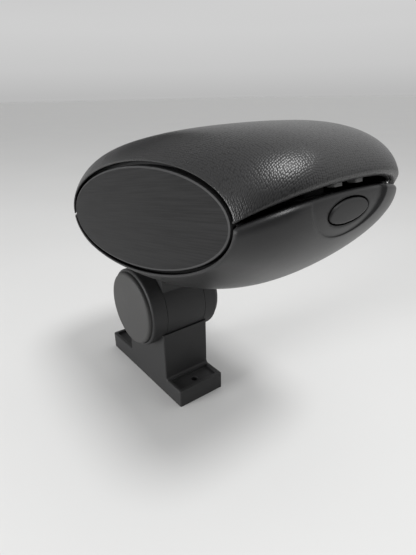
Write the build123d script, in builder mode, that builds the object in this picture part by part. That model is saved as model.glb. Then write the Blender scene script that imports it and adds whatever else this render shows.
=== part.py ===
# Centre armrest of a car: a barrel-shaped bin with a padded lid, on a pedestal with a tilting hinge.
# +X is the pod's nose, +Y the left side, +Z up. The origin is the middle of the foot's underside.
import os
from math import cos, pi, radians, sin

from build123d import *

# Foot and column of the pedestal
foot_length = 138.0
foot_width = 50.0
flange_height = 17.5
column_front = 45.0
column_rear = -25.0
column_top = 67.0
pocket_rim = 3.2
pocket_depth = 3.0
foot_screw_radius = 3.3
front_screw_x = 57.0
rear_screw_x = -46.0
foot_edge = 1.5
foot_fillet = 2.5
core_wall = 6.0
core_depth = 36.0

# Tilting hinge
pivot_x = 11.0
pivot_z = 87.0
ear_radius = 38.0
ear_inner = 21.5
ear_outer = 36.2
ear_web = 5.5
ear_edge = 2.2
ear_cavity_radius = 14.0
knuckle_side_gap = 0.4
knuckle_saddle_gap = 1.0
cap_radius = 35.0
cap_seat_gap = 0.4
cap_seat_depth = 5.0
cap_face = 40.0
cap_edge = 2.4
cap_wall = 2.4
bolt_radius = 5.0
bolt_clearance = 0.05
bolt_head_radius = 9.0
bolt_head_height = 5.0
bolt_end = 2.0
bolt_bevel = 0.8
bolt_socket_radius = 4.0
bolt_socket_depth = 3.0
nut_flats = 16.0
nut_height = 5.0
washer_radius = 10.0
washer_thickness = 1.2
bush_wall = 2.0
bush_length = 12.0
friction_radius = 16.0
friction_recess = 1.2
washer_play = 0.1
knuckle_rim = 4.5
knuckle_web = 8.0
boss_drop = 11.0
boss_rise = 20.0
neck_front = 42.0
neck_rear = -12.0
neck_corner = 3.0
arm_screw_radius = 2.5
arm_screw_clearance = 0.3
arm_screw_head_radius = 4.6
arm_screw_head_height = 3.0
arm_screw_grip = 5.0
arm_screw_bite = 12.0
arm_screw_spacing_x = 34.0
arm_screw_spacing_y = 24.0

# Pod: ellipse of the side panels, and how far the barrel swells between them
pod_x = 86.9
pod_z = 196.3
pod_tilt = 9.93
panel_a = 104.2
panel_b = 34.3
half_width = 68.5
panel_gap = 2.1
panel_thickness = 3.6
panel_edge = 1.6
panel_bevel = 0.45
panel_peg_radius = 3.0
panel_peg_length = 2.4
panel_peg_spread = 62.0
lip = 3.2
nose_bow = 18.4
tail_bow = 27.6
nose_rise = 10.4
tail_rise = 7.1
crown = 16.1
keel = 25.8
lid_overhang = 4.0
nose_power = 3.6
tail_power = 4.7
rise_power = 2.6
crown_power = 5.6
keel_power = 2.1
lid_fullness = 2.5
tub_fullness = 1.89
side_gap = 2.6
nose_gap = 4.7
rim_round = 2.5
lid_round = 5.0
stations = (-1, -0.85, -0.55, 0, 0.55, 0.85, 1)
outline_steps = 8
skirt_depth = 60.0
reach_out = 60.0

# Walls of the tub and the lid
tub_wall = 2.8
nose_wall = 5.2
cheek_wall = 3.0
cheek_gap = 1.0
mat_thickness = 2.0
mat_top = -36.0
fit_gap = 0.3
pad_thickness = 6.0
core_shell = 2.6

# Rear lid hinge
lid_pin_radius = 2.0
lid_pin_clearance = 0.05
barrel_radius = 3.6
barrel_gap = 0.8
lid_barrel_half = 12.0
lug_outer = 27.0
lug_gap = 0.4
lug_drop = 13.0
lug_depth = 2.4
lug_lean = 4.4
strap_thickness = 3.4
strap_reach = 9.0
notch_reach = 7.0

# Push button and latch in the nose
button_half_length = 17.0
button_half_height = 6.9
button_height = -3.5
button_gap = 0.9
button_sink = 0.8
button_flange = 1.5
button_back = 108.5
button_stem = 1.5
button_edge = 1.4
flange_gap = 0.4
scoop_half_width = 16.7
scoop_half_height = 15.3
scoop_height = 4.0
scoop_flare = 25.0
scoop_lean = 3.0
scoop_turn_forward = 120.0
scoop_turn_height = -34.0
chamber_half = 23.5
chamber_rear = 74.0
chamber_low = -14.5
chamber_wall = 2.5
post_length = 7.0
post_width = 7.0
rail_gap = 0.1
rail_rear = 80.0
rail_half = 12.2
rail_width = 2.0
cover_thickness = 2.0
cover_top = 5.0
cover_front = 104.0
cover_slot_margin = 2.5
slider_half = 14.0
slider_arm = 3.5
slider_low = -6.0
slider_top = 0.5
slider_bar = 3.0
slider_window = 12.5
slider_rear_bar = 4.0
catch_reach = 3.0
catch_height = 1.5
hook_half = 9.0
hook_thickness = 3.0
hook_stand_off = 0.3
hook_reach = 4.5
catch_overlap = 2.0
hook_nose_height = 1.5
hook_foot_top = 20.0
hook_boss_half = 11.0
hook_foot_thickness = 3.0
hook_foot_rear = 8.5
hook_foot_front = 7.5
hook_screw_ahead = 3.8
hook_screw_side = 5.5
hook_side_gap = 1.5
spring_radius = 3.2
spring_wire = 0.5
spring_turns = 5
spring_gap = 0.3
bumper_rib_rear = 115.0
bumper_rib_half = 20.0
bumper_rib_top = 22.0
bumper_forward = 119.6
bumper_side = 9.0
bumper_length = 6.0
bumper_width = 6.5
bumper_edge = 1.0
bumper_low = 10.4
bumper_height = 5.0
small_screw_radius = 1.4
small_screw_head_radius = 2.7
small_screw_head_height = 1.6
small_screw_length = 7.0

# Places worked out from the sizes above
knuckle_half = ear_inner - knuckle_side_gap
seat_height = pod_z - panel_b - lip - keel - boss_drop
lid_reach = panel_a + lip + nose_bow + lid_overhang
bolt_seat = ear_inner + ear_web + washer_thickness
bush_radius = bolt_radius + bolt_clearance + bush_wall
cap_seat = ear_outer - cap_seat_depth
panel_seat = half_width - panel_thickness
cheek_inner = panel_seat - cheek_wall
lid_span = cheek_inner - cheek_gap
lid_pin_forward = -(panel_a + lip + tail_bow)
lid_pin_height = tail_rise
strap_low = lid_pin_height + side_gap / 2 + fit_gap
strap_top = strap_low + strap_thickness
cover_low = cover_top - cover_thickness
window_front = button_back - slider_bar
window_rear = window_front - slider_window
slider_rear = window_rear - catch_reach - slider_rear_bar
hook_low = slider_top + hook_stand_off
hook_tip = window_rear - catch_overlap
hook_front = hook_tip + hook_reach + hook_thickness
pod_forward = Vector(cos(radians(pod_tilt)), 0, sin(radians(pod_tilt)))
pod_up = Vector(-sin(radians(pod_tilt)), 0, cos(radians(pod_tilt)))
pod_middle = Vector(pod_x, 0, pod_z)
pivot_plane = Plane((pivot_x, 0, pivot_z), x_dir=(1, 0, 0), z_dir=(0, -1, 0))
pivot_axis = Axis((pivot_x, 0, pivot_z), (0, 1, 0))
nose_axis = Axis(pod_middle, pod_forward)
screw_plane = Plane(((neck_front + neck_rear) / 2, 0, seat_height))
scoop_turn = Axis(
    pod_middle + pod_forward * scoop_turn_forward + pod_up * scoop_turn_height, (0, 1, 0)
)


def side_plane(lateral):
    """Plane along the pod at a lateral place: x runs to the nose, y up, its normal to the right side."""
    return Plane(pod_middle + Vector(0, lateral, 0), x_dir=pod_forward, z_dir=(0, -1, 0))


def front_plane(forward):
    """Plane that faces the nose: x runs to the left side, y up."""
    return Plane(pod_middle + pod_forward * forward, x_dir=(0, 1, 0), z_dir=pod_forward)


def top_plane(height):
    """Plane that faces up from the pod: x runs to the nose, y to the left side."""
    return Plane(pod_middle + pod_up * height, x_dir=pod_forward, z_dir=pod_up)


def bulge(share, power):
    """One at the pod's middle, fading to nothing at the side panels."""
    return 1 - abs(share) ** power


def half_outline(share, side, inset, nose_inset):
    """Points of the pod's half outline at a station, from nose to tail: side 1 is the lid, -1 the tub."""
    gap = (side_gap + (nose_gap - side_gap) * bulge(share, 2)) / 2
    reach = panel_a + lip - inset
    ahead = lid_overhang * bulge(share, 2) if side > 0 else 0
    front = Vector(reach + nose_bow * bulge(share, nose_power) + ahead - nose_inset, 0)
    front.Y = nose_rise * bulge(share, rise_power) + side * gap
    rear = Vector(-reach - tail_bow * bulge(share, tail_power), 0)
    rear.Y = tail_rise * bulge(share, rise_power) + side * side_gap / 2
    swell = crown * bulge(share, crown_power) if side > 0 else keel * bulge(share, keel_power)
    middle = (front + rear) / 2
    axis = (front - rear) / 2
    depth = panel_b + lip + swell - side * middle.Y - inset
    across = Vector(-axis.Y, axis.X).normalized() * depth * side
    fullness = 2 + ((lid_fullness if side > 0 else tub_fullness) - 2) * bulge(share, 2)
    points = []
    for step in range(outline_steps + 1):
        angle = pi * step / outline_steps
        along = abs(cos(angle)) ** (2 / fullness) * (1 if cos(angle) > 0 else -1)
        points.append(middle + axis * along + across * abs(sin(angle)) ** (2 / fullness))
    return points, across.normalized()


def pod_half(side, inset=0.0, half_span=half_width, nose_inset=0.0, skirt=0.0, nose_round=0.0):
    """Lofted half barrel across the pod, shrunk by an inset, and carried past the shut line by a skirt."""
    with BuildPart() as half:
        for share in stations:
            lateral = share * half_span
            points, across = half_outline(lateral / half_width, side, inset, nose_inset)
            with BuildSketch(side_plane(lateral)):
                with BuildLine():
                    Spline(*points, tangents=(across, -across), tangent_scalars=(1, 1))
                    if skirt:
                        past = across * -skirt
                        Polyline(points[-1], points[-1] + past, points[0] + past, points[0])
                    else:
                        Line(points[-1], points[0])
                make_face()
        loft()
        if nose_round:
            fillet(half.edges().sort_by(nose_axis)[-1], nose_round)
    return half.part


def pod_block(rear, front, right, left, bottom, top):
    """Box set square to the pod, between places along it, across it and up it."""
    with BuildPart() as block:
        with BuildSketch(top_plane(bottom)):
            with Locations(((rear + front) / 2, (right + left) / 2)):
                Rectangle(front - rear, left - right)
        extrude(amount=top - bottom)
    return block.part


def cross_rod(forward, height, radius, right, left):
    """Round rod across the pod."""
    with BuildPart() as rod:
        with BuildSketch(side_plane(left)):
            with Locations((forward, height)):
                Circle(radius)
        extrude(amount=left - right)
    return rod.part


def small_screw(forward, lateral, height, up):
    """Small screw square to the pod, seated at a height: up is 1 where its head is above, -1 below."""
    with BuildPart() as screw:
        with BuildSketch(top_plane(height)):
            with Locations((forward, lateral)):
                Circle(small_screw_head_radius)
        extrude(amount=up * small_screw_head_height)
        with BuildSketch(top_plane(height)):
            with Locations((forward, lateral)):
                Circle(small_screw_radius)
        extrude(amount=-up * small_screw_length)
        with BuildSketch(top_plane(height + up * small_screw_head_height)):
            with Locations((forward, lateral)):
                RegularPolygon(small_screw_radius, 6)
        extrude(amount=-up * small_screw_head_height / 2, mode=Mode.SUBTRACT)
    return screw.part


def button_outline(grow, start, depth):
    """Oval prism on the button's axis, grown by a margin, from a place along the pod towards the nose."""
    with BuildPart() as prism:
        with BuildSketch(front_plane(start)):
            with Locations((0, button_height)):
                Ellipse(button_half_length + grow, button_half_height + grow)
        extrude(amount=depth)
    return prism.part


tub_shape = pod_half(-1, nose_round=rim_round)
tub_void = pod_half(-1, tub_wall, cheek_inner, nose_wall - tub_wall, skirt=skirt_depth)
lid_shape = pod_half(1, nose_round=lid_round)
lid_void = pod_half(1, pad_thickness, lid_span, skirt=skirt_depth)
core_shape = pod_half(1, pad_thickness + fit_gap, lid_span - fit_gap)
core_void = pod_half(
    1, pad_thickness + fit_gap + core_shell, lid_span - fit_gap - core_shell, skirt=skirt_depth
)

os.makedirs("parts", exist_ok=True)

# Pedestal: stepped foot, column and two round ears
with BuildPart() as base_pedestal:
    with BuildSketch(Plane.XZ.offset(-foot_width / 2)) as profile:
        with Locations((0, flange_height / 2)):
            Rectangle(foot_length, flange_height)
        with Locations(((column_front + column_rear) / 2, column_top / 2)):
            Rectangle(column_front - column_rear, column_top)
        fillet(profile.vertices().group_by(Axis.Y)[1].sort_by(Axis.X)[1:-1], foot_fillet)
    extrude(amount=foot_width)
    fillet(base_pedestal.edges().filter_by(Axis.Z), foot_edge)
    with BuildSketch(pivot_plane.offset(-ear_inner)):
        Circle(ear_radius + knuckle_saddle_gap)
    extrude(amount=2 * ear_inner, mode=Mode.SUBTRACT)
    with BuildSketch(Plane.XY.offset(flange_height)):
        for near, far in ((column_front, foot_length / 2), (column_rear, -foot_length / 2)):
            with Locations(((near + far) / 2, 0)):
                RectangleRounded(abs(far - near) - 2 * pocket_rim, foot_width - 2 * pocket_rim, foot_edge)
    extrude(amount=-pocket_depth, mode=Mode.SUBTRACT)
    with BuildSketch(Plane.XY.offset(flange_height)):
        with Locations((front_screw_x, 0), (rear_screw_x, 0)):
            Circle(foot_screw_radius)
    extrude(amount=-flange_height, mode=Mode.SUBTRACT)
    with BuildSketch():
        for near, far in ((core_wall, column_front - core_wall), (-core_wall, column_rear + core_wall)):
            with Locations(((near + far) / 2, 0)):
                RectangleRounded(abs(far - near), foot_width - 2 * core_wall, foot_edge)
    extrude(amount=core_depth, mode=Mode.SUBTRACT)
    with BuildSketch(Plane((pivot_x, 0, pivot_z))):
        with BuildLine():
            face = Polyline(
                (ear_radius - ear_edge, ear_outer),
                (cap_radius + cap_seat_gap, ear_outer),
                (cap_radius + cap_seat_gap, cap_seat),
                (ear_cavity_radius, cap_seat),
                (ear_cavity_radius, ear_inner + ear_web),
                (bolt_radius + bolt_clearance, ear_inner + ear_web),
                (bolt_radius + bolt_clearance, ear_inner),
                (ear_radius, ear_inner),
                (ear_radius, ear_outer - ear_edge),
            )
            RadiusArc(face @ 1, face @ 0, -ear_edge)
        make_face()
        mirror(about=Plane.XZ)
    revolve(axis=pivot_axis)
base_pedestal.part.label = "base_pedestal"
export_step(base_pedestal.part, "parts/base_pedestal.step")


def ear_cap(side):
    """Round cover pressed into an ear over the bolt: side 1 is the left ear, -1 the right."""
    with BuildPart() as cap:
        with BuildSketch(Plane((pivot_x, 0, pivot_z))):
            with BuildLine():
                rim = Polyline(
                    (cap_radius - cap_edge, side * cap_face),
                    (0, side * cap_face),
                    (0, side * (cap_face - cap_wall)),
                    (cap_radius - cap_wall, side * (cap_face - cap_wall)),
                    (cap_radius - cap_wall, side * cap_seat),
                    (cap_radius, side * cap_seat),
                    (cap_radius, side * (cap_face - cap_edge)),
                )
                RadiusArc(rim @ 1, rim @ 0, -side * cap_edge)
            make_face()
        revolve(axis=pivot_axis)
    return cap


ear_cap_left = ear_cap(1)
ear_cap_left.part.label = "ear_cap_left"
export_step(ear_cap_left.part, "parts/ear_cap_left.step")

ear_cap_right = ear_cap(-1)
ear_cap_right.part.label = "ear_cap_right"
export_step(ear_cap_right.part, "parts/ear_cap_right.step")

# Pivot bolt with its head in the right ear, then its nut and washers
with BuildPart() as pivot_bolt:
    with BuildSketch(pivot_plane.offset(bolt_seat)):
        Circle(bolt_radius)
    extrude(amount=-2 * bolt_seat - nut_height - bolt_end)
    with BuildSketch(pivot_plane.offset(bolt_seat)):
        Circle(bolt_head_radius)
    extrude(amount=bolt_head_height)
    chamfer(pivot_bolt.faces().sort_by(Axis.Y)[0].edges(), bolt_bevel)
    with BuildSketch(pivot_plane.offset(bolt_seat + bolt_head_height)):
        RegularPolygon(bolt_socket_radius, 6)
    extrude(amount=-bolt_socket_depth, mode=Mode.SUBTRACT)
pivot_bolt.part.label = "pivot_bolt"
export_step(pivot_bolt.part, "parts/pivot_bolt.step")

with BuildPart() as pivot_nut:
    with BuildSketch(pivot_plane.offset(-bolt_seat)):
        RegularPolygon(nut_flats / 2, 6, major_radius=False)
        Circle(bolt_radius + bolt_clearance, mode=Mode.SUBTRACT)
    extrude(amount=-nut_height)
pivot_nut.part.label = "pivot_nut"
export_step(pivot_nut.part, "parts/pivot_nut.step")

with BuildPart() as pivot_washers:
    for side in (1, -1):
        with BuildSketch(pivot_plane.offset(side * bolt_seat)):
            Circle(washer_radius)
            Circle(bolt_radius + bolt_clearance, mode=Mode.SUBTRACT)
        extrude(amount=-side * washer_thickness)
pivot_washers.part.label = "pivot_washers"
export_step(pivot_washers.part, "parts/pivot_washers.step")

with BuildPart() as friction_washers:
    for side in (1, -1):
        with BuildSketch(pivot_plane.offset(side * (ear_inner - washer_play))):
            Circle(friction_radius - fit_gap)
            Circle(bolt_radius + fit_gap, mode=Mode.SUBTRACT)
        extrude(amount=-side * (friction_recess + knuckle_side_gap - 2 * washer_play))
friction_washers.part.label = "friction_washers"
export_step(friction_washers.part, "parts/friction_washers.step")

# Arm: the knuckle between the ears, with a neck that carries the tub
with BuildPart() as hinge_arm:
    with BuildSketch(pivot_plane.offset(-knuckle_half)):
        Circle(ear_radius)
        with Locations(((neck_front + neck_rear) / 2 - pivot_x, 0)):
            Rectangle(neck_front - neck_rear, seat_height - pivot_z, align=(Align.CENTER, Align.MIN))
        with Locations((0, seat_height - pivot_z)):
            Rectangle(2 * ear_radius, ear_radius, align=(Align.CENTER, Align.MIN), mode=Mode.SUBTRACT)
        Circle(bush_radius, mode=Mode.SUBTRACT)
    extrude(amount=2 * knuckle_half)
    for side in (1, -1):
        with BuildSketch(pivot_plane.offset(side * knuckle_half)):
            Circle(friction_radius)
        extrude(amount=-side * friction_recess, mode=Mode.SUBTRACT)
        with BuildSketch(pivot_plane.offset(side * knuckle_half)):
            Circle(ear_radius - knuckle_rim)
            Circle(friction_radius + knuckle_rim, mode=Mode.SUBTRACT)
            Rectangle(2 * ear_radius, ear_radius, align=(Align.CENTER, Align.MIN), mode=Mode.SUBTRACT)
        extrude(amount=-side * (knuckle_half - knuckle_web / 2), mode=Mode.SUBTRACT)
    with BuildSketch(screw_plane):
        with GridLocations(arm_screw_spacing_x, arm_screw_spacing_y, 2, 2):
            Circle(arm_screw_radius)
    extrude(amount=-arm_screw_bite - fit_gap, mode=Mode.SUBTRACT)
hinge_arm.part.label = "hinge_arm"
export_step(hinge_arm.part, "parts/hinge_arm.step")

with BuildPart() as pivot_bushes:
    for side in (1, -1):
        with BuildSketch(pivot_plane.offset(side * (knuckle_half - friction_recess))):
            Circle(bush_radius)
            Circle(bolt_radius + bolt_clearance, mode=Mode.SUBTRACT)
        extrude(amount=-side * bush_length)
pivot_bushes.part.label = "pivot_bushes"
export_step(pivot_bushes.part, "parts/pivot_bushes.step")

with BuildPart() as arm_screws:
    with BuildSketch(screw_plane.offset(arm_screw_grip)):
        with GridLocations(arm_screw_spacing_x, arm_screw_spacing_y, 2, 2):
            Circle(arm_screw_radius)
    extrude(amount=-arm_screw_grip - arm_screw_bite)
    with BuildSketch(screw_plane.offset(arm_screw_grip)):
        with GridLocations(arm_screw_spacing_x, arm_screw_spacing_y, 2, 2):
            Circle(arm_screw_head_radius)
    extrude(amount=arm_screw_head_height)
    with BuildSketch(screw_plane.offset(arm_screw_grip + arm_screw_head_height)):
        with GridLocations(arm_screw_spacing_x, arm_screw_spacing_y, 2, 2):
            RegularPolygon(arm_screw_radius, 6)
    extrude(amount=-arm_screw_head_height / 2, mode=Mode.SUBTRACT)
arm_screws.part.label = "arm_screws"
export_step(arm_screws.part, "parts/arm_screws.step")

# Open box behind the button that carries the latch, and the bin's hollow less that box
with BuildPart() as latch_shelf:
    shelf_half = chamber_half + chamber_wall
    shelf_rear = chamber_rear - chamber_wall
    shelf_low = chamber_low - chamber_wall
    shelf_front = button_back + reach_out
    post_inner = chamber_half - post_width
    posts_front = cover_front - fit_gap
    rail_top = slider_low - rail_gap
    add(pod_block(shelf_rear, shelf_front, -shelf_half, shelf_half, shelf_low, cover_top))
    add(
        pod_block(chamber_rear, shelf_front, -chamber_half, chamber_half, chamber_low, cover_top),
        mode=Mode.SUBTRACT,
    )
    for rear in (chamber_rear, posts_front - post_length):
        add(pod_block(rear, rear + post_length, post_inner, chamber_half, chamber_low, cover_low))
        add(pod_block(rear, rear + post_length, -chamber_half, -post_inner, chamber_low, cover_low))
    for side in (1, -1):
        near = side * rail_half - rail_width / 2
        add(pod_block(rail_rear, posts_front, near, near + rail_width, chamber_low, rail_top))
    for side in (1, -1):
        with BuildSketch(top_plane(cover_low)):
            with Locations((chamber_rear + post_length / 2, side * (chamber_half - post_width / 2))):
                Circle(small_screw_radius)
        extrude(amount=-small_screw_length, mode=Mode.SUBTRACT)

with BuildPart() as tub_room:
    add(tub_void)
    add(latch_shelf.part, mode=Mode.SUBTRACT)

# Shallow flared scoop in the nose round the button, deepest at the rim and fading out below
with BuildPart() as scoop:
    for flare in (0, scoop_flare):
        with BuildSketch(front_plane(button_back + flare)):
            with Locations((0, scoop_height)):
                Ellipse(scoop_half_width + flare, scoop_half_height + flare)
    loft(ruled=True)
    add(tub_shape.rotate(scoop_turn, -scoop_lean), mode=Mode.SUBTRACT)

# Tub: the lower half of the barrel, with the cheeks that carry the side panels
with BuildPart() as tub:
    add(tub_shape)
    with BuildSketch(screw_plane):
        RectangleRounded(neck_front - neck_rear, 2 * knuckle_half, neck_corner)
    extrude(amount=boss_rise)
    add(tub_room.part, mode=Mode.SUBTRACT)
    for side in (1, -1):
        with BuildSketch(side_plane(side * cheek_inner)):
            Ellipse(panel_a, panel_b)
        extrude(amount=-side * cheek_wall)
        with BuildSketch(side_plane(side * panel_seat)):
            Ellipse(panel_a + panel_gap, panel_b + panel_gap)
        extrude(amount=-side * reach_out, mode=Mode.SUBTRACT)
        with BuildSketch(side_plane(side * panel_seat)):
            with GridLocations(panel_peg_spread, 0, 3, 1):
                Circle(panel_peg_radius)
        extrude(amount=side * cheek_wall, mode=Mode.SUBTRACT)
    add(scoop.part, mode=Mode.SUBTRACT)
    add(button_outline(button_gap, button_back, reach_out), mode=Mode.SUBTRACT)
    lug_inner = lid_barrel_half + lug_gap
    add(
        cross_rod(lid_pin_forward, lid_pin_height, barrel_radius + barrel_gap, -lug_inner, lug_inner),
        mode=Mode.SUBTRACT,
    )
    for right, left in ((lug_inner, lug_outer), (-lug_outer, -lug_inner)):
        with BuildSketch(side_plane(left)):
            with Locations((lid_pin_forward, lid_pin_height)):
                Circle(barrel_radius)
                Polygon((-barrel_radius, 0), (lug_lean, -lug_drop), (lug_depth, 0), align=None)
                Circle(lid_pin_radius, mode=Mode.SUBTRACT)
        extrude(amount=left - right)
    add(
        cross_rod(lid_pin_forward, lid_pin_height, lid_pin_radius, -lug_outer, lug_outer),
        mode=Mode.SUBTRACT,
    )
    with BuildSketch(screw_plane):
        with GridLocations(arm_screw_spacing_x, arm_screw_spacing_y, 2, 2):
            Circle(arm_screw_radius + arm_screw_clearance)
    extrude(amount=arm_screw_grip, mode=Mode.SUBTRACT)
    with BuildSketch(screw_plane.offset(arm_screw_grip)):
        with GridLocations(arm_screw_spacing_x, arm_screw_spacing_y, 2, 2):
            Circle(arm_screw_head_radius + arm_screw_clearance)
    extrude(amount=boss_rise, mode=Mode.SUBTRACT)
tub.part.label = "tub"
export_step(tub.part, "parts/tub.step")

with BuildPart() as bin_mat:
    add(pod_half(-1, tub_wall + fit_gap, cheek_inner - fit_gap, nose_wall - tub_wall, skirt=skirt_depth))
    add(
        pod_half(-1, tub_wall + fit_gap + mat_thickness, panel_seat, nose_wall - tub_wall, skirt=skirt_depth),
        mode=Mode.SUBTRACT,
    )
    add(
        pod_block(-2 * panel_a, 2 * panel_a, -half_width, half_width, mat_top, mat_top + 2 * skirt_depth),
        mode=Mode.SUBTRACT,
    )
bin_mat.part.label = "bin_mat"
export_step(bin_mat.part, "parts/bin_mat.step")


def side_panel(side):
    """Flat elliptical panel on three pegs: side 1 is the left one, -1 the right."""
    with BuildPart() as panel:
        with BuildSketch(side_plane(side * panel_seat)):
            Ellipse(panel_a, panel_b)
        extrude(amount=-side * (panel_thickness - panel_edge))
        for shrink, rise in ((0, panel_edge), (panel_bevel, panel_bevel), (panel_edge, 0)):
            with BuildSketch(side_plane(side * (half_width - rise))):
                Ellipse(panel_a - shrink, panel_b - shrink)
        loft(ruled=True)
        with BuildSketch(side_plane(side * panel_seat)):
            with GridLocations(panel_peg_spread, 0, 3, 1):
                Circle(panel_peg_radius)
        extrude(amount=side * panel_peg_length)
    return panel


side_panel_left = side_panel(1)
side_panel_left.part.label = "side_panel_left"
export_step(side_panel_left.part, "parts/side_panel_left.step")

side_panel_right = side_panel(-1)
side_panel_right.part.label = "side_panel_right"
export_step(side_panel_right.part, "parts/side_panel_right.step")

with BuildPart() as hinge_pin:
    add(cross_rod(lid_pin_forward, lid_pin_height, lid_pin_radius, -lug_outer, lug_outer))
hinge_pin.part.label = "hinge_pin"
export_step(hinge_pin.part, "parts/hinge_pin.step")

# Button, the sliding catch behind it, its spring and the cover over them
with BuildPart() as button_flange_ring:
    add(button_outline(button_flange, button_back + button_stem, reach_out))
    add(tub_void.moved(Location(pod_forward * -flange_gap)), mode=Mode.INTERSECT)

with BuildPart() as release_button:
    add(button_outline(0, button_back, reach_out))
    add(tub_shape.moved(Location(pod_forward * -button_sink)), mode=Mode.INTERSECT)
    fillet(release_button.faces().sort_by(Axis((0, 0, 0), pod_forward))[-1].edges(), button_edge)
    add(button_flange_ring.part)
release_button.part.label = "release_button"
export_step(release_button.part, "parts/release_button.step")

with BuildPart() as release_slider:
    add(pod_block(slider_rear, button_back, -slider_half, slider_half, slider_low, slider_top))
    window_half = slider_half - slider_arm
    catch_rear = window_rear - catch_reach
    add(
        pod_block(window_rear, window_front, -window_half, window_half, slider_low, slider_top),
        mode=Mode.SUBTRACT,
    )
    add(
        pod_block(catch_rear, window_rear, -window_half, window_half, slider_low, slider_top - catch_height),
        mode=Mode.SUBTRACT,
    )
release_slider.part.label = "release_slider"
export_step(release_slider.part, "parts/release_slider.step")

spring_rear = chamber_rear + spring_gap + spring_wire
spring_front = slider_rear - spring_gap - spring_wire
with BuildPart() as button_spring:
    with BuildLine():
        coil = Helix(
            (spring_front - spring_rear) / spring_turns,
            spring_front - spring_rear,
            spring_radius,
            center=pod_middle + pod_forward * spring_rear + pod_up * (slider_low + slider_top) / 2,
            direction=pod_forward,
        )
    with BuildSketch(Plane(coil @ 0, z_dir=coil % 0)):
        RegularPolygon(spring_wire, 6)
    sweep(is_frenet=True)
button_spring.part.label = "button_spring"
export_step(button_spring.part, "parts/button_spring.step")

with BuildPart() as latch_cover:
    cover_half = chamber_half - fit_gap
    cover_rear = chamber_rear + fit_gap
    slot_half = hook_half + hook_side_gap
    slot_rear = hook_tip - cover_slot_margin
    slot_front = hook_front + cover_slot_margin
    add(pod_block(cover_rear, cover_front, -cover_half, cover_half, cover_low, cover_top))
    add(
        pod_block(slot_rear, slot_front, -slot_half, slot_half, cover_low, cover_top),
        mode=Mode.SUBTRACT,
    )
    for side in (1, -1):
        with BuildSketch(top_plane(cover_low)):
            with Locations((chamber_rear + post_length / 2, side * (chamber_half - post_width / 2))):
                Circle(small_screw_radius + bolt_clearance)
        extrude(amount=cover_thickness, mode=Mode.SUBTRACT)
latch_cover.part.label = "latch_cover"
export_step(latch_cover.part, "parts/latch_cover.step")

with BuildPart() as latch_cover_screws:
    for side in (1, -1):
        add(
            small_screw(
                chamber_rear + post_length / 2, side * (chamber_half - post_width / 2), cover_top, 1
            )
        )
latch_cover_screws.part.label = "latch_cover_screws"
export_step(latch_cover_screws.part, "parts/latch_cover_screws.step")

# Lid: a hard shell under a padded cover, with the latch hook and the stops in its nose
with BuildPart() as core_room:
    add(core_void)
    add(
        pod_block(
            hook_front - hook_foot_rear,
            hook_front + hook_foot_front,
            -hook_boss_half,
            hook_boss_half,
            hook_foot_top,
            reach_out,
        ),
        mode=Mode.SUBTRACT,
    )
    add(
        pod_block(bumper_rib_rear, lid_reach, -bumper_rib_half, bumper_rib_half, -reach_out, bumper_rib_top),
        mode=Mode.SUBTRACT,
    )

with BuildPart() as lid_core:
    add(core_shape)
    add(core_room.part, mode=Mode.SUBTRACT)
    add(cross_rod(lid_pin_forward, lid_pin_height, barrel_radius, -lid_barrel_half, lid_barrel_half))
    strap_front = lid_pin_forward + strap_reach
    add(pod_block(lid_pin_forward, strap_front, -lid_barrel_half, lid_barrel_half, strap_low, strap_top))
    add(
        cross_rod(
            lid_pin_forward,
            lid_pin_height,
            lid_pin_radius + lid_pin_clearance,
            -lid_barrel_half,
            lid_barrel_half,
        ),
        mode=Mode.SUBTRACT,
    )
    for side in (1, -1):
        with BuildSketch(top_plane(bumper_low)):
            with Locations((bumper_forward, side * bumper_side)):
                RectangleRounded(bumper_length, bumper_width, bumper_edge)
        extrude(amount=bumper_height, mode=Mode.SUBTRACT)
        with BuildSketch(top_plane(hook_foot_top)):
            with Locations((hook_front + hook_screw_ahead, side * hook_screw_side)):
                Circle(small_screw_radius)
        extrude(amount=small_screw_length - hook_foot_thickness, mode=Mode.SUBTRACT)
lid_core.part.label = "lid_core"
export_step(lid_core.part, "parts/lid_core.step")

with BuildPart() as lid_pad:
    add(lid_shape)
    add(lid_void, mode=Mode.SUBTRACT)
    for side in (1, -1):
        with BuildSketch(side_plane(side * lid_span)):
            Ellipse(panel_a + panel_gap, panel_b + panel_gap)
        extrude(amount=-side * reach_out, mode=Mode.SUBTRACT)
    notch_half = lug_outer + lug_gap
    add(
        pod_block(
            lid_pin_forward - reach_out,
            lid_pin_forward + notch_reach,
            -notch_half,
            notch_half,
            -reach_out,
            strap_top + fit_gap,
        ),
        mode=Mode.SUBTRACT,
    )
lid_pad.part.label = "lid_pad"
export_step(lid_pad.part, "parts/lid_pad.step")

with BuildPart() as latch_hook:
    hook_foot_low = hook_foot_top - hook_foot_thickness
    hook_rear = hook_front - hook_thickness
    add(
        pod_block(
            hook_front - hook_foot_rear,
            hook_front + hook_foot_front,
            -hook_half,
            hook_half,
            hook_foot_low,
            hook_foot_top,
        )
    )
    add(pod_block(hook_rear, hook_front, -hook_half, hook_half, hook_low, hook_foot_low))
    add(pod_block(hook_tip, hook_front, -hook_half, hook_half, hook_low, hook_low + hook_nose_height))
    for side in (1, -1):
        with BuildSketch(top_plane(hook_foot_low)):
            with Locations((hook_front + hook_screw_ahead, side * hook_screw_side)):
                Circle(small_screw_radius + bolt_clearance)
        extrude(amount=hook_foot_thickness, mode=Mode.SUBTRACT)
latch_hook.part.label = "latch_hook"
export_step(latch_hook.part, "parts/latch_hook.step")

with BuildPart() as latch_hook_screws:
    for side in (1, -1):
        add(
            small_screw(
                hook_front + hook_screw_ahead,
                side * hook_screw_side,
                hook_foot_top - hook_foot_thickness,
                -1,
            )
        )
latch_hook_screws.part.label = "latch_hook_screws"
export_step(latch_hook_screws.part, "parts/latch_hook_screws.step")

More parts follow.
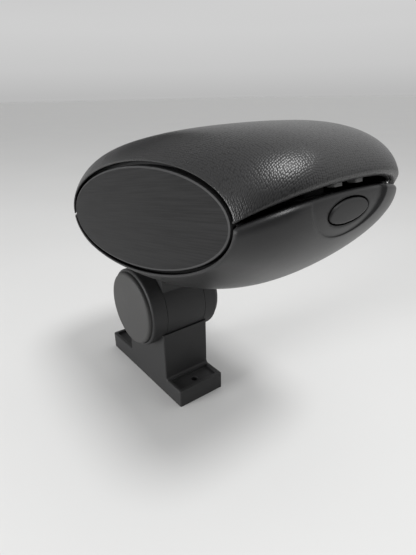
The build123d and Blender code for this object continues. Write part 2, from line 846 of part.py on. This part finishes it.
with BuildPart() as lid_bumpers:
    with BuildSketch(top_plane(bumper_low)):
        with Locations((bumper_forward, bumper_side), (bumper_forward, -bumper_side)):
            RectangleRounded(bumper_length, bumper_width, bumper_edge)
    extrude(amount=bumper_height)
lid_bumpers.part.label = "lid_bumpers"
export_step(lid_bumpers.part, "parts/lid_bumpers.step")
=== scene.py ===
import math

import bpy
from mathutils import Matrix, Vector


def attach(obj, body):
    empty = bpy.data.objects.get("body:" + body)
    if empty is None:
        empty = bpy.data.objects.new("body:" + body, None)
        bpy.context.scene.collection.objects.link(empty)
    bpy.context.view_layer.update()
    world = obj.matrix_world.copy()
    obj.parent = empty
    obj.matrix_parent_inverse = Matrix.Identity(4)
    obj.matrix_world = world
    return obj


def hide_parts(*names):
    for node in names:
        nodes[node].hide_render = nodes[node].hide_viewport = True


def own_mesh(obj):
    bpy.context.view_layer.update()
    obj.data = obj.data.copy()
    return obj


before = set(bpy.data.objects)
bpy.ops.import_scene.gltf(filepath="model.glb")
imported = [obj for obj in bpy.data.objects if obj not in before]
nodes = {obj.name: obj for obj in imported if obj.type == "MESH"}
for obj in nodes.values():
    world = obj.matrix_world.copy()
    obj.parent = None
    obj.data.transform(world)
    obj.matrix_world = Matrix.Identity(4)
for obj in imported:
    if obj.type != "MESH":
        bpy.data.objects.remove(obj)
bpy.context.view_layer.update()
bpy.ops.object.select_all(action="DESELECT")
print("frame loaded with", len(nodes), "nodes")

pod = {"middle": (0.0869, 0.0, 0.1963), "tilt": 9.93}  # the pod's middle, and the degrees its nose is up
podPlace = Matrix.Translation(pod["middle"]) @ Matrix.Rotation(-math.radians(pod["tilt"]), 4, "Y")


# shader wiring: a socket that takes Python arithmetic
class Wire:
    def __init__(self, tree, socket):
        self.tree = tree
        self.socket = socket

    # any node: its type, its settings, then what goes into its sockets
    def node(self, kind, settings=None, inputs=None, out=0):
        made = self.tree.nodes.new(kind)
        for key, value in (settings or {}).items():
            if key == "stops":
                tones = made.color_ramp
                while len(tones.elements) < len(value):
                    tones.elements.new(0.5)
                for element, (place, tone) in zip(tones.elements, value):
                    element.position = place
                    element.color = (tone, tone, tone, 1)
            else:
                setattr(made, key, value)
        for key, value in (inputs or {}).items():
            if isinstance(value, Wire):
                self.tree.links.new(value.socket, made.inputs[key])
            else:
                made.inputs[key].default_value = value
        return Wire(self.tree, made.outputs[out])

    def maths(self, operation, first, second):
        return self.node("ShaderNodeMath", {"operation": operation}, {0: first, 1: second})

    def __add__(self, other):
        return self.maths("ADD", self, other)

    __radd__ = __add__

    def __sub__(self, other):
        return self.maths("SUBTRACT", self, other)

    def __rsub__(self, other):
        return self.maths("SUBTRACT", other, self)

    def __mul__(self, other):
        return self.maths("MULTIPLY", self, other)

    __rmul__ = __mul__


# what all finishes share: noise detail, rounded-looking edges and painted shade that turns gaps black
finishKit = {
    "driftDetail": 3.0, "driftStops": [(0.3, 0.0), (0.7, 1.0)], "edgeSamples": 6,
    "gapShadeSamples": 8, "gapShadeSpan": 0.45, "gapShadeTone": (0.001, 0.001, 0.001, 1),
}
mixFirst, mixSecond, mixResult = 6, 7, 2  # the colour sockets of a Mix node


# a fresh material: its principled shader, and a wire with the object's own coordinates
def newFinish(name, fixed):
    finish = bpy.data.materials.new(name)
    finish.use_nodes = True
    shader = finish.node_tree.nodes["Principled BSDF"]
    for socket, value in fixed.items():
        shader.inputs[socket].default_value = value
    coords = finish.node_tree.nodes.new("ShaderNodeTexCoord")
    place = Wire(finish.node_tree, coords.outputs["Object"])
    return finish, shader, place


def plug(shader, socket, wire):
    wire.tree.links.new(wire.socket, shader.inputs[socket])


def noise(place, scale, detail=2.0, rough=0.5):
    return place.node(
        "ShaderNodeTexNoise", None, {"Vector": place, "Scale": scale, "Detail": detail, "Roughness": rough}
    )


def ramp(wire, stops):
    return wire.node("ShaderNodeValToRGB", {"stops": stops}, {"Fac": wire})


# a slow change over the surface, from nothing to one
def slowDrift(place, scale, stops=finishKit["driftStops"]):
    return ramp(noise(place, scale, finishKit["driftDetail"]), stops)


# two colours, or a wire and a colour, mixed by a share
def mixed(share, first, second):
    first, second = (tone if isinstance(tone, Wire) else (*tone, 1) for tone in (first, second))
    inputs = {"Factor": share, mixFirst: first, mixSecond: second}
    return share.node("ShaderNodeMix", {"data_type": "RGBA"}, inputs, out=mixResult)


def bumped(wire, strength, distance, under=None):
    inputs = {"Height": wire, "Strength": strength, "Distance": distance}
    if under:
        inputs["Normal"] = under
    return wire.node("ShaderNodeBump", None, inputs)


def softEdge(place, radius):
    return place.node("ShaderNodeBevel", {"samples": finishKit["edgeSamples"]}, {"Radius": radius})


# the mask for the painted gap shade: one in the open, falling to nothing deep in a gap
def gapShadeOpenness(place, reach, fullShade):
    settings = {"samples": finishKit["gapShadeSamples"]}
    opened = place.node("ShaderNodeAmbientOcclusion", settings, {"Distance": reach}, out="AO")
    return ramp(opened, [(fullShade, 0.0), (fullShade + finishKit["gapShadeSpan"], 1.0)])


# painted shade: the shader gives way to plain black deep in gaps, where shade falls
def paintedGapShade(finish, shader, place, look):
    tree = finish.node_tree
    black = place.node("ShaderNodeBsdfDiffuse", None, {"Color": finishKit["gapShadeTone"]})
    body = Wire(tree, shader.outputs[0])
    share = gapShadeOpenness(place, look["gapShadeReach"], look["gapShadeFull"])
    both = place.node("ShaderNodeMixShader", None, {0: share, 1: black, 2: body})
    plug(tree.nodes["Material Output"], "Surface", both)


# moulded plastic: a fine spark-eroded grain, a slow drift of tone and rounded-looking edges
shellLook = {
    "dark": (0.017, 0.017, 0.0175), "light": (0.023, 0.023, 0.0235), "driftScale": 22,
    "gloss": 0.32, "rough": 0.46, "roughDrift": 0.07, "roughGrain": 0.06,
    "grain": 0.35, "grainScale": 2600, "grainRough": 0.6, "grainDepth": 0.00006, "edge": 0.0008,
    # this plastic gets no painted gap shade
    "gapShadeReach": 0.0, "gapShadeFull": 0.25,  # no reach, no black gaps
}
capLook = dict(shellLook, dark=(0.038, 0.038, 0.0375), light=(0.047, 0.0465, 0.046), rough=0.5, edge=0.0006)
tubLook = dict(
    shellLook, dark=(0.014, 0.014, 0.0145), light=(0.018, 0.018, 0.0185), gloss=0.38, rough=0.27, grain=0.2,
    edge=0.003, gapShadeReach=0.007,
)
buttonLook = dict(tubLook, rough=0.42, edge=0.0025, gapShadeReach=0.004, gapShadeFull=0.5)
latchLook = dict(shellLook, dark=(0.014, 0.014, 0.015), light=(0.02, 0.02, 0.021), rough=0.5, edge=0.0003)
bearingLook = dict(shellLook, dark=(0.66, 0.63, 0.56), light=(0.74, 0.72, 0.65), rough=0.38, edge=0.0002)


def mouldedPlastic(name, look):
    finish, shader, place = newFinish(name, {"Specular IOR Level": look["gloss"]})
    drift = slowDrift(place, look["driftScale"])
    grain = noise(place, look["grainScale"], rough=look["grainRough"])
    plug(shader, "Base Color", mixed(drift, look["dark"], look["light"]))
    plug(shader, "Roughness", look["rough"] + look["roughDrift"] * drift + look["roughGrain"] * grain)
    plug(shader, "Normal", bumped(grain, look["grain"], look["grainDepth"], softEdge(place, look["edge"])))
    # painted shade: plain black painted deep in gaps, as far as this look reaches
    if look["gapShadeReach"]:
        paintedGapShade(finish, shader, place, look)
    return finish


shellPlastic = mouldedPlastic("shell_black", shellLook)
capPlastic = mouldedPlastic("cap_grey", capLook)
tubPlastic = mouldedPlastic("tub_satin", tubLook)
buttonPlastic = mouldedPlastic("button_satin", buttonLook)
latchPlastic = mouldedPlastic("latch_plastic", latchLook)
bearingPlastic = mouldedPlastic("bearing_plastic", bearingLook)

# side panel: satin plastic with fine lines along the pod, a painted highlight on its rounded rim and painted
# shade in its gaps
panelLook = {
    "dark": (0.0075, 0.0075, 0.0078), "light": (0.0165, 0.0165, 0.017), "driftScale": 18, "driftShare": 0.3,
    "gloss": 0.16, "rough": 0.46, "roughDrift": 0.08, "roughLines": 0.06,
    "lineScale": 1700, "lineStretch": 0.015, "lineDetail": 1.0, "lineStops": [(0.38, 0.0), (0.62, 1.0)],
    "lines": 0.4, "lineDepth": 0.00006, "lineShare": 0.7,
    "edge": 0.0004, "rimHighlightTone": (0.062, 0.062, 0.063), "gapShadeReach": 0.003, "gapShadeFull": 0.25,
    "rimHighlightStops": [(0.02, 0.0), (0.2, 1.0), (0.5, 1.0), (0.8, 0.0)],
}


# the mask for the painted rim highlight: nothing where a face looks straight out to the side or straight along,
# full where an edge rounds between
def paintedRimHighlight(place, stops):
    facing = place.node("ShaderNodeTexCoord", out="Normal")
    sideways = place.node("ShaderNodeSeparateXYZ", None, {"Vector": facing}, out="Y")
    return ramp(1 - sideways * sideways, stops)


def linedPanel(name, look):
    finish, shader, place = newFinish(name, {"Specular IOR Level": look["gloss"]})
    turn = (0, math.radians(pod["tilt"]), 0)
    level = place.node("ShaderNodeMapping", None, {"Vector": place, "Rotation": turn})
    stretch = (look["lineStretch"], look["lineStretch"], 1.0)
    along = level.node("ShaderNodeMapping", None, {"Vector": level, "Scale": stretch})
    lines = noise(along, look["lineScale"], look["lineDetail"])
    drift = slowDrift(place, look["driftScale"])
    share = drift * look["driftShare"] + ramp(lines, look["lineStops"]) * look["lineShare"]
    body = mixed(share, look["dark"], look["light"])
    # painted highlight: the rounded rim's colour is lifted to a paler tone
    plug(shader, "Base Color", mixed(paintedRimHighlight(place, look["rimHighlightStops"]), body, look["rimHighlightTone"]))
    plug(shader, "Roughness", look["rough"] + look["roughDrift"] * drift + look["roughLines"] * lines)
    plug(shader, "Normal", bumped(lines, look["lines"], look["lineDepth"], softEdge(place, look["edge"])))
    # painted shade: plain black painted deep in the gaps round the panel
    paintedGapShade(finish, shader, place, look)
    return finish


panelPlastic = linedPanel("panel_satin", panelLook)

# leatherette: rounded pebbles with dark valleys, over a slow swell
leatherLook = {
    "valley": (0.004, 0.004, 0.0042), "pebble": (0.023, 0.023, 0.0235), "grainMap": "grain",
    "pebbleScale": 740, "uneven": 0.5, "pebbleStops": [(0.15, 1.0), (0.45, 0.6), (0.75, 0.0)],
    "gloss": 0.46, "rough": 0.26, "roughDrift": 0.06, "roughValley": 0.1, "driftScale": 25,
    "grain": 1.0, "grainDepth": 0.00011, "wrinkle": 0.5, "wrinkleScale": 90, "wrinkleDepth": 0.00008,
    "gapShadeReach": 0.009, "gapShadeFull": 0.25,
}


def pebbleLeather(name, look):
    finish, shader, place = newFinish(name, {"Specular IOR Level": look["gloss"]})
    spread = place.node("ShaderNodeUVMap", {"uv_map": look["grainMap"]})
    cell = place.node(
        "ShaderNodeTexVoronoi", {"feature": "F1", "voronoi_dimensions": "2D"},
        {"Vector": spread, "Scale": look["pebbleScale"], "Randomness": look["uneven"]},
    )
    pebble = ramp(cell, look["pebbleStops"])
    drift = slowDrift(place, look["driftScale"])
    plug(shader, "Base Color", mixed(pebble, look["valley"], look["pebble"]))
    plug(shader, "Roughness", look["rough"] + look["roughDrift"] * drift + look["roughValley"] * (1 - pebble))
    swell = bumped(noise(place, look["wrinkleScale"]), look["wrinkle"], look["wrinkleDepth"])
    plug(shader, "Normal", bumped(pebble, look["grain"], look["grainDepth"], swell))
    # painted shade: plain black painted deep in the gaps round the cover
    paintedGapShade(finish, shader, place, look)
    return finish


leatherette = pebbleLeather("leatherette", leatherLook)

# rubber: dull, with a fine dusty grain
rubberLook = {
    "dark": (0.012, 0.012, 0.012), "light": (0.022, 0.022, 0.022), "gloss": 0.3, "rough": 0.78,
    "roughDust": 0.15, "dust": 0.4, "dustScale": 900, "dustDetail": 4.0, "dustRough": 0.7, "dustDepth": 0.0001,
}
stopLook = dict(rubberLook, dark=(0.1, 0.1, 0.1), light=(0.14, 0.14, 0.138), rough=0.65)


def dullRubber(name, look):
    finish, shader, place = newFinish(name, {"Specular IOR Level": look["gloss"]})
    dust = noise(place, look["dustScale"], look["dustDetail"], look["dustRough"])
    plug(shader, "Base Color", mixed(dust, look["dark"], look["light"]))
    plug(shader, "Roughness", look["rough"] + look["roughDust"] * dust)
    plug(shader, "Normal", bumped(dust, look["dust"], look["dustDepth"]))
    return finish


matRubber = dullRubber("mat_rubber", rubberLook)
stopRubber = dullRubber("stop_rubber", stopLook)

# zinc-plated steel with turning marks
steelLook = {
    "dark": (0.46, 0.47, 0.49), "light": (0.66, 0.67, 0.69), "rough": 0.28, "roughMarks": 0.18,
    "bloomScale": 160, "bloomStops": [(0.35, 0.0), (0.65, 1.0)],
    "marks": 0.15, "marksScale": 1400, "marksDetail": 3.0, "marksRough": 0.6, "marksDepth": 0.00005,
}


def zincSteel(name, look):
    finish, shader, place = newFinish(name, {"Metallic": 1.0})
    marks = noise(place, look["marksScale"], look["marksDetail"], look["marksRough"])
    bloom = slowDrift(place, look["bloomScale"], look["bloomStops"])
    plug(shader, "Base Color", mixed(bloom, look["dark"], look["light"]))
    plug(shader, "Roughness", look["rough"] + look["roughMarks"] * marks)
    plug(shader, "Normal", bumped(marks, look["marks"], look["marksDepth"]))
    return finish


steel = zincSteel("zinc_steel", steelLook)

# which finish goes on which CAD node
finishFor = {
    "base_pedestal": shellPlastic, "hinge_arm": shellPlastic, "lid_core": shellPlastic,
    "ear_cap_left": capPlastic, "ear_cap_right": capPlastic, "tub": tubPlastic,
    "side_panel_left": panelPlastic, "side_panel_right": panelPlastic, "release_button": buttonPlastic,
    "release_slider": latchPlastic, "latch_cover": latchPlastic, "latch_hook": latchPlastic,
    "pivot_bushes": bearingPlastic, "friction_washers": bearingPlastic,
    "bin_mat": matRubber, "lid_bumpers": stopRubber, "lid_pad": leatherette,
    "pivot_bolt": steel, "pivot_nut": steel, "pivot_washers": steel, "arm_screws": steel, "hinge_pin": steel,
    "latch_cover_screws": steel, "latch_hook_screws": steel, "button_spring": steel,
}
for nodeName, node in nodes.items():
    node.data.materials.clear()
    node.data.materials.append(finishFor[nodeName])
print("finishes on", len(finishFor), "nodes")

# padded lid cover: one sheet over the crown, tucked under along its edges
lidCover = {
    # the pod's outline: half its width, the side panel it is built round, and how it swells between the panels
    "halfWidth": 0.0685, "panelLength": 0.1042, "panelHeight": 0.0343, "panelGap": 0.0021, "lip": 0.0032,
    "noseBow": 0.0184, "nosePower": 3.6, "tailBow": 0.0276, "tailPower": 4.7, "crown": 0.0161, "crownPower": 5.6,
    "overhang": 0.004, "overhangPower": 2, "fullness": 2.5, "fullnessPower": 2,
    # the shut line: how far it rises at nose and tail, and how wide it gapes
    "noseRise": 0.0104, "tailRise": 0.0071, "risePower": 2.6,
    "sideGap": 0.0026, "noseGap": 0.0047, "gapPower": 2,
    # the turned-under edges
    "tuck": 0.0058, "tuckLeast": 0.0001, "tuckLift": 0.0002, "edgeSteps": 6,
    "noseRound": 0.005, "noseRoundMost": 0.87, "tailRound": 0.0032, "tailRoundMost": 0.8,
    "sideRound": 0.15, "sideRoundPower": 8,
    "sideTuck": ((0.0003, -0.0001), (0.0008, -0.0005), (0.0011, -0.0014), (0.0011, -0.0032)),
    # room for the hinge at the tail
    "hingeHalf": 0.0286, "hingeFade": 0.0016, "hingeLift": 0.0043,
    # the sheet's mesh and thickness
    "across": 72, "along": 110, "crowding": 0.35, "traceSteps": 600, "weld": 0.00025, "skin": 0.0012,
    # the swell: it starts low by the slack, and no point moves further than the cap
    "slack": 0.0014, "slackPower": 4, "cap": 0.00161, "frames": 20, "pinRows": 4,
    "cloth": {
        "quality": 4, "mass": 0.3, "tension_stiffness": 40, "compression_stiffness": 40, "bending_stiffness": 4,
        "use_pressure": True, "uniform_pressure_force": 4.0, "vertex_group_mass": "edge",
    },
}


# one in the middle, falling to nothing at either side
def bulge(share, power):
    return 1 - abs(share) ** power


# lengths along a line of points, from its first point
def runLengths(points):
    runs = [0.0]
    for first, second in zip(points, points[1:]):
        runs.append(runs[-1] + (second - first).length)
    return runs


def runFromMiddle(points):
    runs = runLengths(points)
    return [run - runs[len(points) // 2] for run in runs]


# the same line with this many points, evenly spaced along its length
def evenlySpaced(points, count):
    runs = runLengths(points)
    spaced = []
    spot = 0
    for step in range(count):
        want = runs[-1] * step / (count - 1)
        while spot < len(runs) - 2 and runs[spot + 1] < want:
            spot += 1
        part = (want - runs[spot]) / max(1e-9, runs[spot + 1] - runs[spot])
        spaced.append(points[spot].lerp(points[spot + 1], min(1.0, part)))
    return spaced


# one row of the cover, in the pod's own plane, from the tucked nose edge round to the tucked tail edge
def coverRow(look, share, inset, lateral):
    level = lateral / look["halfWidth"]
    rise = bulge(level, look["risePower"])
    noseGap = look["sideGap"] + (look["noseGap"] - look["sideGap"]) * bulge(level, look["gapPower"])
    reach = look["panelLength"] + look["lip"] - inset
    noseReach = reach + look["noseBow"] * bulge(share, look["nosePower"])
    noseReach += look["overhang"] * bulge(share, look["overhangPower"])
    tailReach = reach + look["tailBow"] * bulge(share, look["tailPower"])
    nose = Vector((noseReach, look["noseRise"] * rise + noseGap / 2))
    tail = Vector((-tailReach, look["tailRise"] * rise + look["sideGap"] / 2))
    centre = (nose + tail) / 2
    half = (nose - tail).length / 2
    ahead = (nose - tail).normalized()
    up = Vector((-ahead.y, ahead.x))
    top = look["panelHeight"] + look["lip"] + look["crown"] * bulge(share, look["crownPower"])
    depth = top - centre.y - inset - look["slack"] * bulge(share, look["slackPower"])
    full = 2 + (look["fullness"] - 2) * bulge(share, look["fullnessPower"])  # 2 is a plain ellipse
    tuck = min(look["tuck"], max(look["tuckLeast"], half - look["panelLength"] - look["panelGap"]))
    sideRound = look["sideRound"] + (1 - look["sideRound"]) * bulge(share, look["sideRoundPower"])
    noseCurl = min(look["noseRound"], look["noseRoundMost"] * tuck) * sideRound
    tailCurl = min(look["tailRound"], look["tailRoundMost"] * tuck)
    over = abs(lateral) - look["hingeHalf"]
    lift = look["hingeLift"] * min(1.0, max(0.0, 1 - over / look["hingeFade"]))

    # the turned-under edge at one end: from the tuck, round the curl, up to where the side wall starts
    def turnedEdge(raised, curl):
        points = [(half - tuck, raised + look["tuckLift"])]
        for step in range(look["edgeSteps"]):
            angle = math.radians(-90 + 90 * step / look["edgeSteps"])
            points.append((half - curl + curl * math.cos(angle), raised + curl + curl * math.sin(angle)))
        return points

    # the crown between the two edges
    traced = []
    for step in range(look["traceSteps"] + 1):
        angle = math.pi * step / look["traceSteps"]
        x = half * math.copysign(abs(math.cos(angle)) ** (2 / full), math.cos(angle))
        y = depth * math.sin(angle) ** (2 / full) if 0 < step < look["traceSteps"] else 0.0
        if (x > 0 and y >= noseCurl) or (x <= 0 and y >= tailCurl + lift):
            traced.append(Vector((x, y)))
    flat = turnedEdge(0.0, noseCurl) + [tuple(point) for point in evenlySpaced(traced, look["along"])]
    flat += [(-x, y) for x, y in reversed(turnedEdge(lift, tailCurl))]
    row = []
    for x, y in flat:
        point = centre + ahead * x + up * y
        row.append(Vector((point.x, lateral, point.y)))
    return row


# a UV map in metres over the sheet, so that the grain keeps its size round every curve
def spreadGrain(cover, rows, order):
    count = len(rows[0])
    lengthwise = [runFromMiddle(row) for row in rows]
    crosswise = [runFromMiddle([row[spot] for row in rows]) for spot in range(count)]
    place = {vertex.index: divmod(index, count) for index, vertex in enumerate(order)}
    cover.data.uv_layers.active.name = leatherLook["grainMap"]
    for corner, spread in zip(cover.data.loops, cover.data.uv_layers.active.data):
        row, spot = place[corner.vertex_index]
        spread.uv = (lengthwise[row][spot], crosswise[spot][row])


# the rows across the lid, closer together near its sides, with the tucked rows outside them
def coverRows(look):
    wide = look["halfWidth"]
    rows = [coverRow(look, -1.0, inset, -wide - shift) for inset, shift in reversed(look["sideTuck"])]
    for step in range(look["across"] + 1):
        even = 2 * step / look["across"] - 1
        share = look["crowding"] * math.sin(math.pi / 2 * even) + (1 - look["crowding"]) * even
        rows.append(coverRow(look, share, 0.0, share * wide))
    rows += [coverRow(look, 1.0, inset, wide + shift) for inset, shift in look["sideTuck"]]
    return rows


def buildLidCover(look):
    rows = coverRows(look)
    count = len(rows[0])
    bpy.ops.object.select_all(action="DESELECT")
    bpy.ops.mesh.primitive_grid_add(x_subdivisions=len(rows) - 1, y_subdivisions=count - 1, size=1)
    cover = bpy.context.object
    cover.name = "lidCover"
    order = sorted(cover.data.vertices, key=lambda v: (round(v.co.x, 5), round(v.co.y, 5)))
    pinned = cover.vertex_groups.new(name=look["cloth"]["vertex_group_mass"])
    for index, vertex in enumerate(order):
        row, spot = divmod(index, count)
        vertex.co = podPlace @ rows[row][spot]
        rim = min(spot, count - 1 - spot) - look["edgeSteps"]
        side = min(row, len(rows) - 1 - row) - len(look["sideTuck"])
        near = min(rim, side)
        if near < look["pinRows"]:
            pinned.add([vertex.index], 1.0 if near < 1 else 1.0 - near / look["pinRows"], "REPLACE")
    cover.matrix_world = Matrix.Identity(4)
    cover.data.update()
    spreadGrain(cover, rows, order)
    bpy.ops.object.mode_set(mode="EDIT")
    bpy.ops.mesh.select_all(action="SELECT")
    bpy.ops.mesh.normals_make_consistent(inside=False)
    bpy.ops.object.mode_set(mode="OBJECT")
    top = max(cover.data.polygons, key=lambda p: p.center.z)
    if top.normal.z < 0:
        cover.data.flip_normals()
    return cover


# air pressure swells the cover a little between its pinned edges
def swellCover(cover, look):
    start = [v.co.copy() for v in cover.data.vertices]
    cloth = cover.modifiers.new("swell", "CLOTH")
    for key, value in look["cloth"].items():
        setattr(cloth.settings, key, value)
    cloth.settings.effector_weights.gravity = 0
    cloth.collision_settings.use_collision = False
    for step in range(1, look["frames"] + 1):
        bpy.context.scene.frame_set(step)
    bpy.context.view_layer.objects.active = cover
    bpy.ops.object.modifier_apply(modifier="swell")
    bpy.context.scene.frame_set(1)
    furthest = max((v.co - was).length for v, was in zip(cover.data.vertices, start))
    share = min(1.0, look["cap"] / furthest)
    for vertex, was in zip(cover.data.vertices, start):
        vertex.co = was.lerp(vertex.co, share)
    print("lid cover swelled", round(furthest * 1000, 2), "mm, kept", round(furthest * share * 1000, 2))


def finishCover(cover, look):
    bpy.ops.object.select_all(action="DESELECT")
    cover.select_set(True)
    bpy.context.view_layer.objects.active = cover
    bpy.ops.object.mode_set(mode="EDIT")
    bpy.ops.mesh.select_all(action="SELECT")
    bpy.ops.mesh.remove_doubles(threshold=look["weld"])
    bpy.ops.object.mode_set(mode="OBJECT")
    wall = cover.modifiers.new("skin", "SOLIDIFY")
    wall.thickness = look["skin"]
    wall.offset = -1
    bpy.ops.object.modifier_apply(modifier="skin")
    smooth = cover.modifiers.new("smooth", "SUBSURF")
    smooth.levels = 1
    smooth.render_levels = 1
    bpy.ops.object.modifier_apply(modifier="smooth")
    bpy.ops.object.shade_smooth()
    cover.vertex_groups.clear()
    cover.data.materials.clear()
    cover.data.materials.append(leatherette)
    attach(cover, "lid")
    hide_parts("lid_pad")


lidSheet = buildLidCover(lidCover)
swellCover(lidSheet, lidCover)
finishCover(lidSheet, lidCover)
print("lid cover has", len(lidSheet.data.polygons), "faces")

# the button's return spring, wound along the pod; its stroke is given, but the spring is built at full length
# and nothing here shortens it
returnSpring = {
    "rear": 0.0748, "front": 0.0852, "height": -0.00275, "radius": 0.0032, "wire": 0.0005, "turns": 5,
    "stroke": 0.004, "sides": 10, "stepsPerTurn": 28, "smoothAngle": 40,
}


def buildReturnSpring(look):
    bpy.ops.object.select_all(action="DESELECT")
    bpy.ops.mesh.primitive_circle_add(
        vertices=look["sides"], radius=look["wire"], location=(look["radius"], 0, 0),
        rotation=(math.pi / 2, 0, 0),
    )
    coil = bpy.context.object
    coil.name = "returnSpring"
    bpy.ops.object.transform_apply(location=True, rotation=True, scale=True)
    winding = coil.modifiers.new("winding", "SCREW")
    winding.axis = "Z"
    winding.iterations = look["turns"]
    winding.screw_offset = (look["front"] - look["rear"]) / look["turns"]
    winding.steps = look["stepsPerTurn"]
    winding.render_steps = look["stepsPerTurn"]
    bpy.ops.object.modifier_apply(modifier="winding")
    bpy.ops.object.mode_set(mode="EDIT")
    bpy.ops.mesh.select_all(action="SELECT")
    bpy.ops.mesh.fill_holes(sides=look["sides"])  # the wire's two cut ends
    bpy.ops.mesh.select_all(action="SELECT")
    bpy.ops.mesh.normals_make_consistent(inside=False)
    bpy.ops.object.mode_set(mode="OBJECT")
    seat = podPlace @ Matrix.Translation((look["rear"], 0, look["height"]))
    coil.matrix_world = seat @ Matrix.Rotation(math.pi / 2, 4, "Y")
    bpy.ops.object.transform_apply(location=True, rotation=True, scale=True)
    bpy.ops.object.shade_smooth_by_angle(angle=math.radians(look["smoothAngle"]))
    coil.data.materials.clear()
    coil.data.materials.append(steel)
    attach(coil, "arm")
    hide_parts("button_spring")
    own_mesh(coil)


buildReturnSpring(returnSpring)

# pale floor that runs out to a soft sky of the same tone
floorLook = {
    "size": 60.0, "dark": (0.65, 0.65, 0.645), "light": (0.69, 0.69, 0.685),
    "toneScale": 3.0, "toneDetail": 3.0, "gloss": 0.25, "rough": 0.55, "roughTone": 0.1,
}
bpy.ops.mesh.primitive_plane_add(size=floorLook["size"], location=(0, 0, 0))
floor = bpy.context.object
floor.name = "floor"
floorFinish, floorShader, floorPlace = newFinish("floor_pale", {"Specular IOR Level": floorLook["gloss"]})
floorTone = noise(floorPlace, floorLook["toneScale"], floorLook["toneDetail"])
plug(floorShader, "Base Color", mixed(floorTone, floorLook["dark"], floorLook["light"]))
plug(floorShader, "Roughness", floorLook["rough"] + floorLook["roughTone"] * floorTone)
floor.data.materials.append(floorFinish)

# the sky's tone from the horizon up, and how it leans to the side that is brighter
skyLook = {
    "tones": [(0.0, 0.49), (0.05, 0.57), (0.12, 0.62), (0.4, 0.62), (1.0, 0.7)],
    "lean": [(0.14, 0.0), (0.35, 0.6)], "leanX": 0.6, "leanY": 0.8,
}
world = bpy.data.worlds.new("studio")
world.use_nodes = True
skyCoords = world.node_tree.nodes.new("ShaderNodeTexCoord")
skyPlace = Wire(world.node_tree, skyCoords.outputs["Generated"])
skyX, skyY, skyZ = (
    skyPlace.node("ShaderNodeSeparateXYZ", None, {"Vector": skyPlace}, out=axis) for axis in "XYZ"
)
skyLean = ramp(skyZ, skyLook["lean"]) * (skyLook["leanX"] * skyX + skyLook["leanY"] * skyY)
plug(world.node_tree.nodes["Background"], "Color", ramp(skyZ, skyLook["tones"]) * (1 + skyLean))
bpy.context.scene.world = world

# soft light from above and from the left, which the camera doesn't see
lightLook = {
    "ceilingLight": {"spot": (0.6, 0.06, 1.35), "aim": (0.18, -0.02, 0.22), "size": 0.36, "power": 9.5},
    "leftLight": {"spot": (-0.25, -2.3, 0.55), "aim": (0.0, 0.0, 0.05), "size": 1.0, "power": 48.0},
}
for lightName, look in lightLook.items():
    lamp = bpy.data.lights.new(lightName, "AREA")
    lamp.shape = "DISK"
    lamp.size = look["size"]
    lamp.energy = look["power"]
    lampObject = bpy.data.objects.new(lightName, lamp)
    bpy.context.scene.collection.objects.link(lampObject)
    lampObject.visible_camera = False
    lampObject.location = look["spot"]
    lampObject.rotation_euler = (Vector(look["aim"]) - Vector(look["spot"])).to_track_quat("-Z", "Y").to_euler()

# camera where the photograph was taken from: angles in radians, focal length and height in its pixels
cameraLook = {
    "spot": (0.3351, -0.1933, 0.2719), "yaw": 0.6519, "pitch": 0.4134, "roll": 0.0163, "focal": 417.0,
    "tall": 555.0, "sensor": 36.0,
}
viewAhead = Vector((
    -math.cos(cameraLook["yaw"]) * math.cos(cameraLook["pitch"]),
    math.sin(cameraLook["yaw"]) * math.cos(cameraLook["pitch"]),
    -math.sin(cameraLook["pitch"]),
))
viewRight = viewAhead.cross(Vector((0, 0, 1))).normalized()
viewDown = viewAhead.cross(viewRight)
cosRoll, sinRoll = math.cos(cameraLook["roll"]), math.sin(cameraLook["roll"])
rolledRight = viewRight * cosRoll + viewDown * sinRoll
rolledDown = viewDown * cosRoll - viewRight * sinRoll
cameraData = bpy.data.cameras.new("photoView")
cameraData.sensor_width = cameraLook["sensor"]
cameraData.lens = cameraLook["sensor"] * cameraLook["focal"] / cameraLook["tall"]
camera = bpy.data.objects.new("photoView", cameraData)
bpy.context.scene.collection.objects.link(camera)
viewTurn = Matrix((rolledRight, -rolledDown, -viewAhead)).transposed().to_4x4()
camera.matrix_world = Matrix.Translation(cameraLook["spot"]) @ viewTurn
bpy.context.scene.camera = camera
bpy.context.scene.view_settings.view_transform = "Standard"

# dark cards that only reflections see: one behind the camera, one far behind the lid's rear
cardLook = {"tone": (0.02, 0.02, 0.02, 1), "gloss": 0.1, "rough": 0.8, "roughTone": 0.1, "toneScale": 20}
cameraCard = {"behind": 0.08, "aside": 0.14, "middle": 0.29, "width": 0.75, "height": 0.5}
rearCard = {"behind": -1.4, "aside": -0.56, "middle": 0.66, "width": 0.8, "height": 0.6}
cardFinish, cardShader, cardPlace = newFinish(
    "card_dark", {"Base Color": cardLook["tone"], "Specular IOR Level": cardLook["gloss"]}
)
cardTone = noise(cardPlace, cardLook["toneScale"])
plug(cardShader, "Roughness", cardLook["rough"] + cardLook["roughTone"] * cardTone)


# an upright card that faces along the view, placed from the camera's spot
def addCard(name, look):
    level = Vector((viewAhead.x, viewAhead.y, 0)).normalized()
    bpy.ops.object.select_all(action="DESELECT")
    bpy.ops.mesh.primitive_plane_add(size=1)
    card = bpy.context.object
    card.name = name
    spot = Vector(cameraLook["spot"]) - level * look["behind"] + viewRight * look["aside"]
    spot.z = look["middle"]
    upright = level.to_track_quat("Z", "Y").to_matrix().to_4x4()
    stretch = Matrix.Diagonal((look["width"], look["height"], 1, 1))
    card.matrix_world = Matrix.Translation(spot) @ upright @ stretch
    card.visible_camera = False
    card.visible_diffuse = False
    card.visible_shadow = False
    card.data.materials.append(cardFinish)


addCard("cameraCard", cameraCard)
addCard("rearCard", rearCard)
print("stage, lights and camera set")
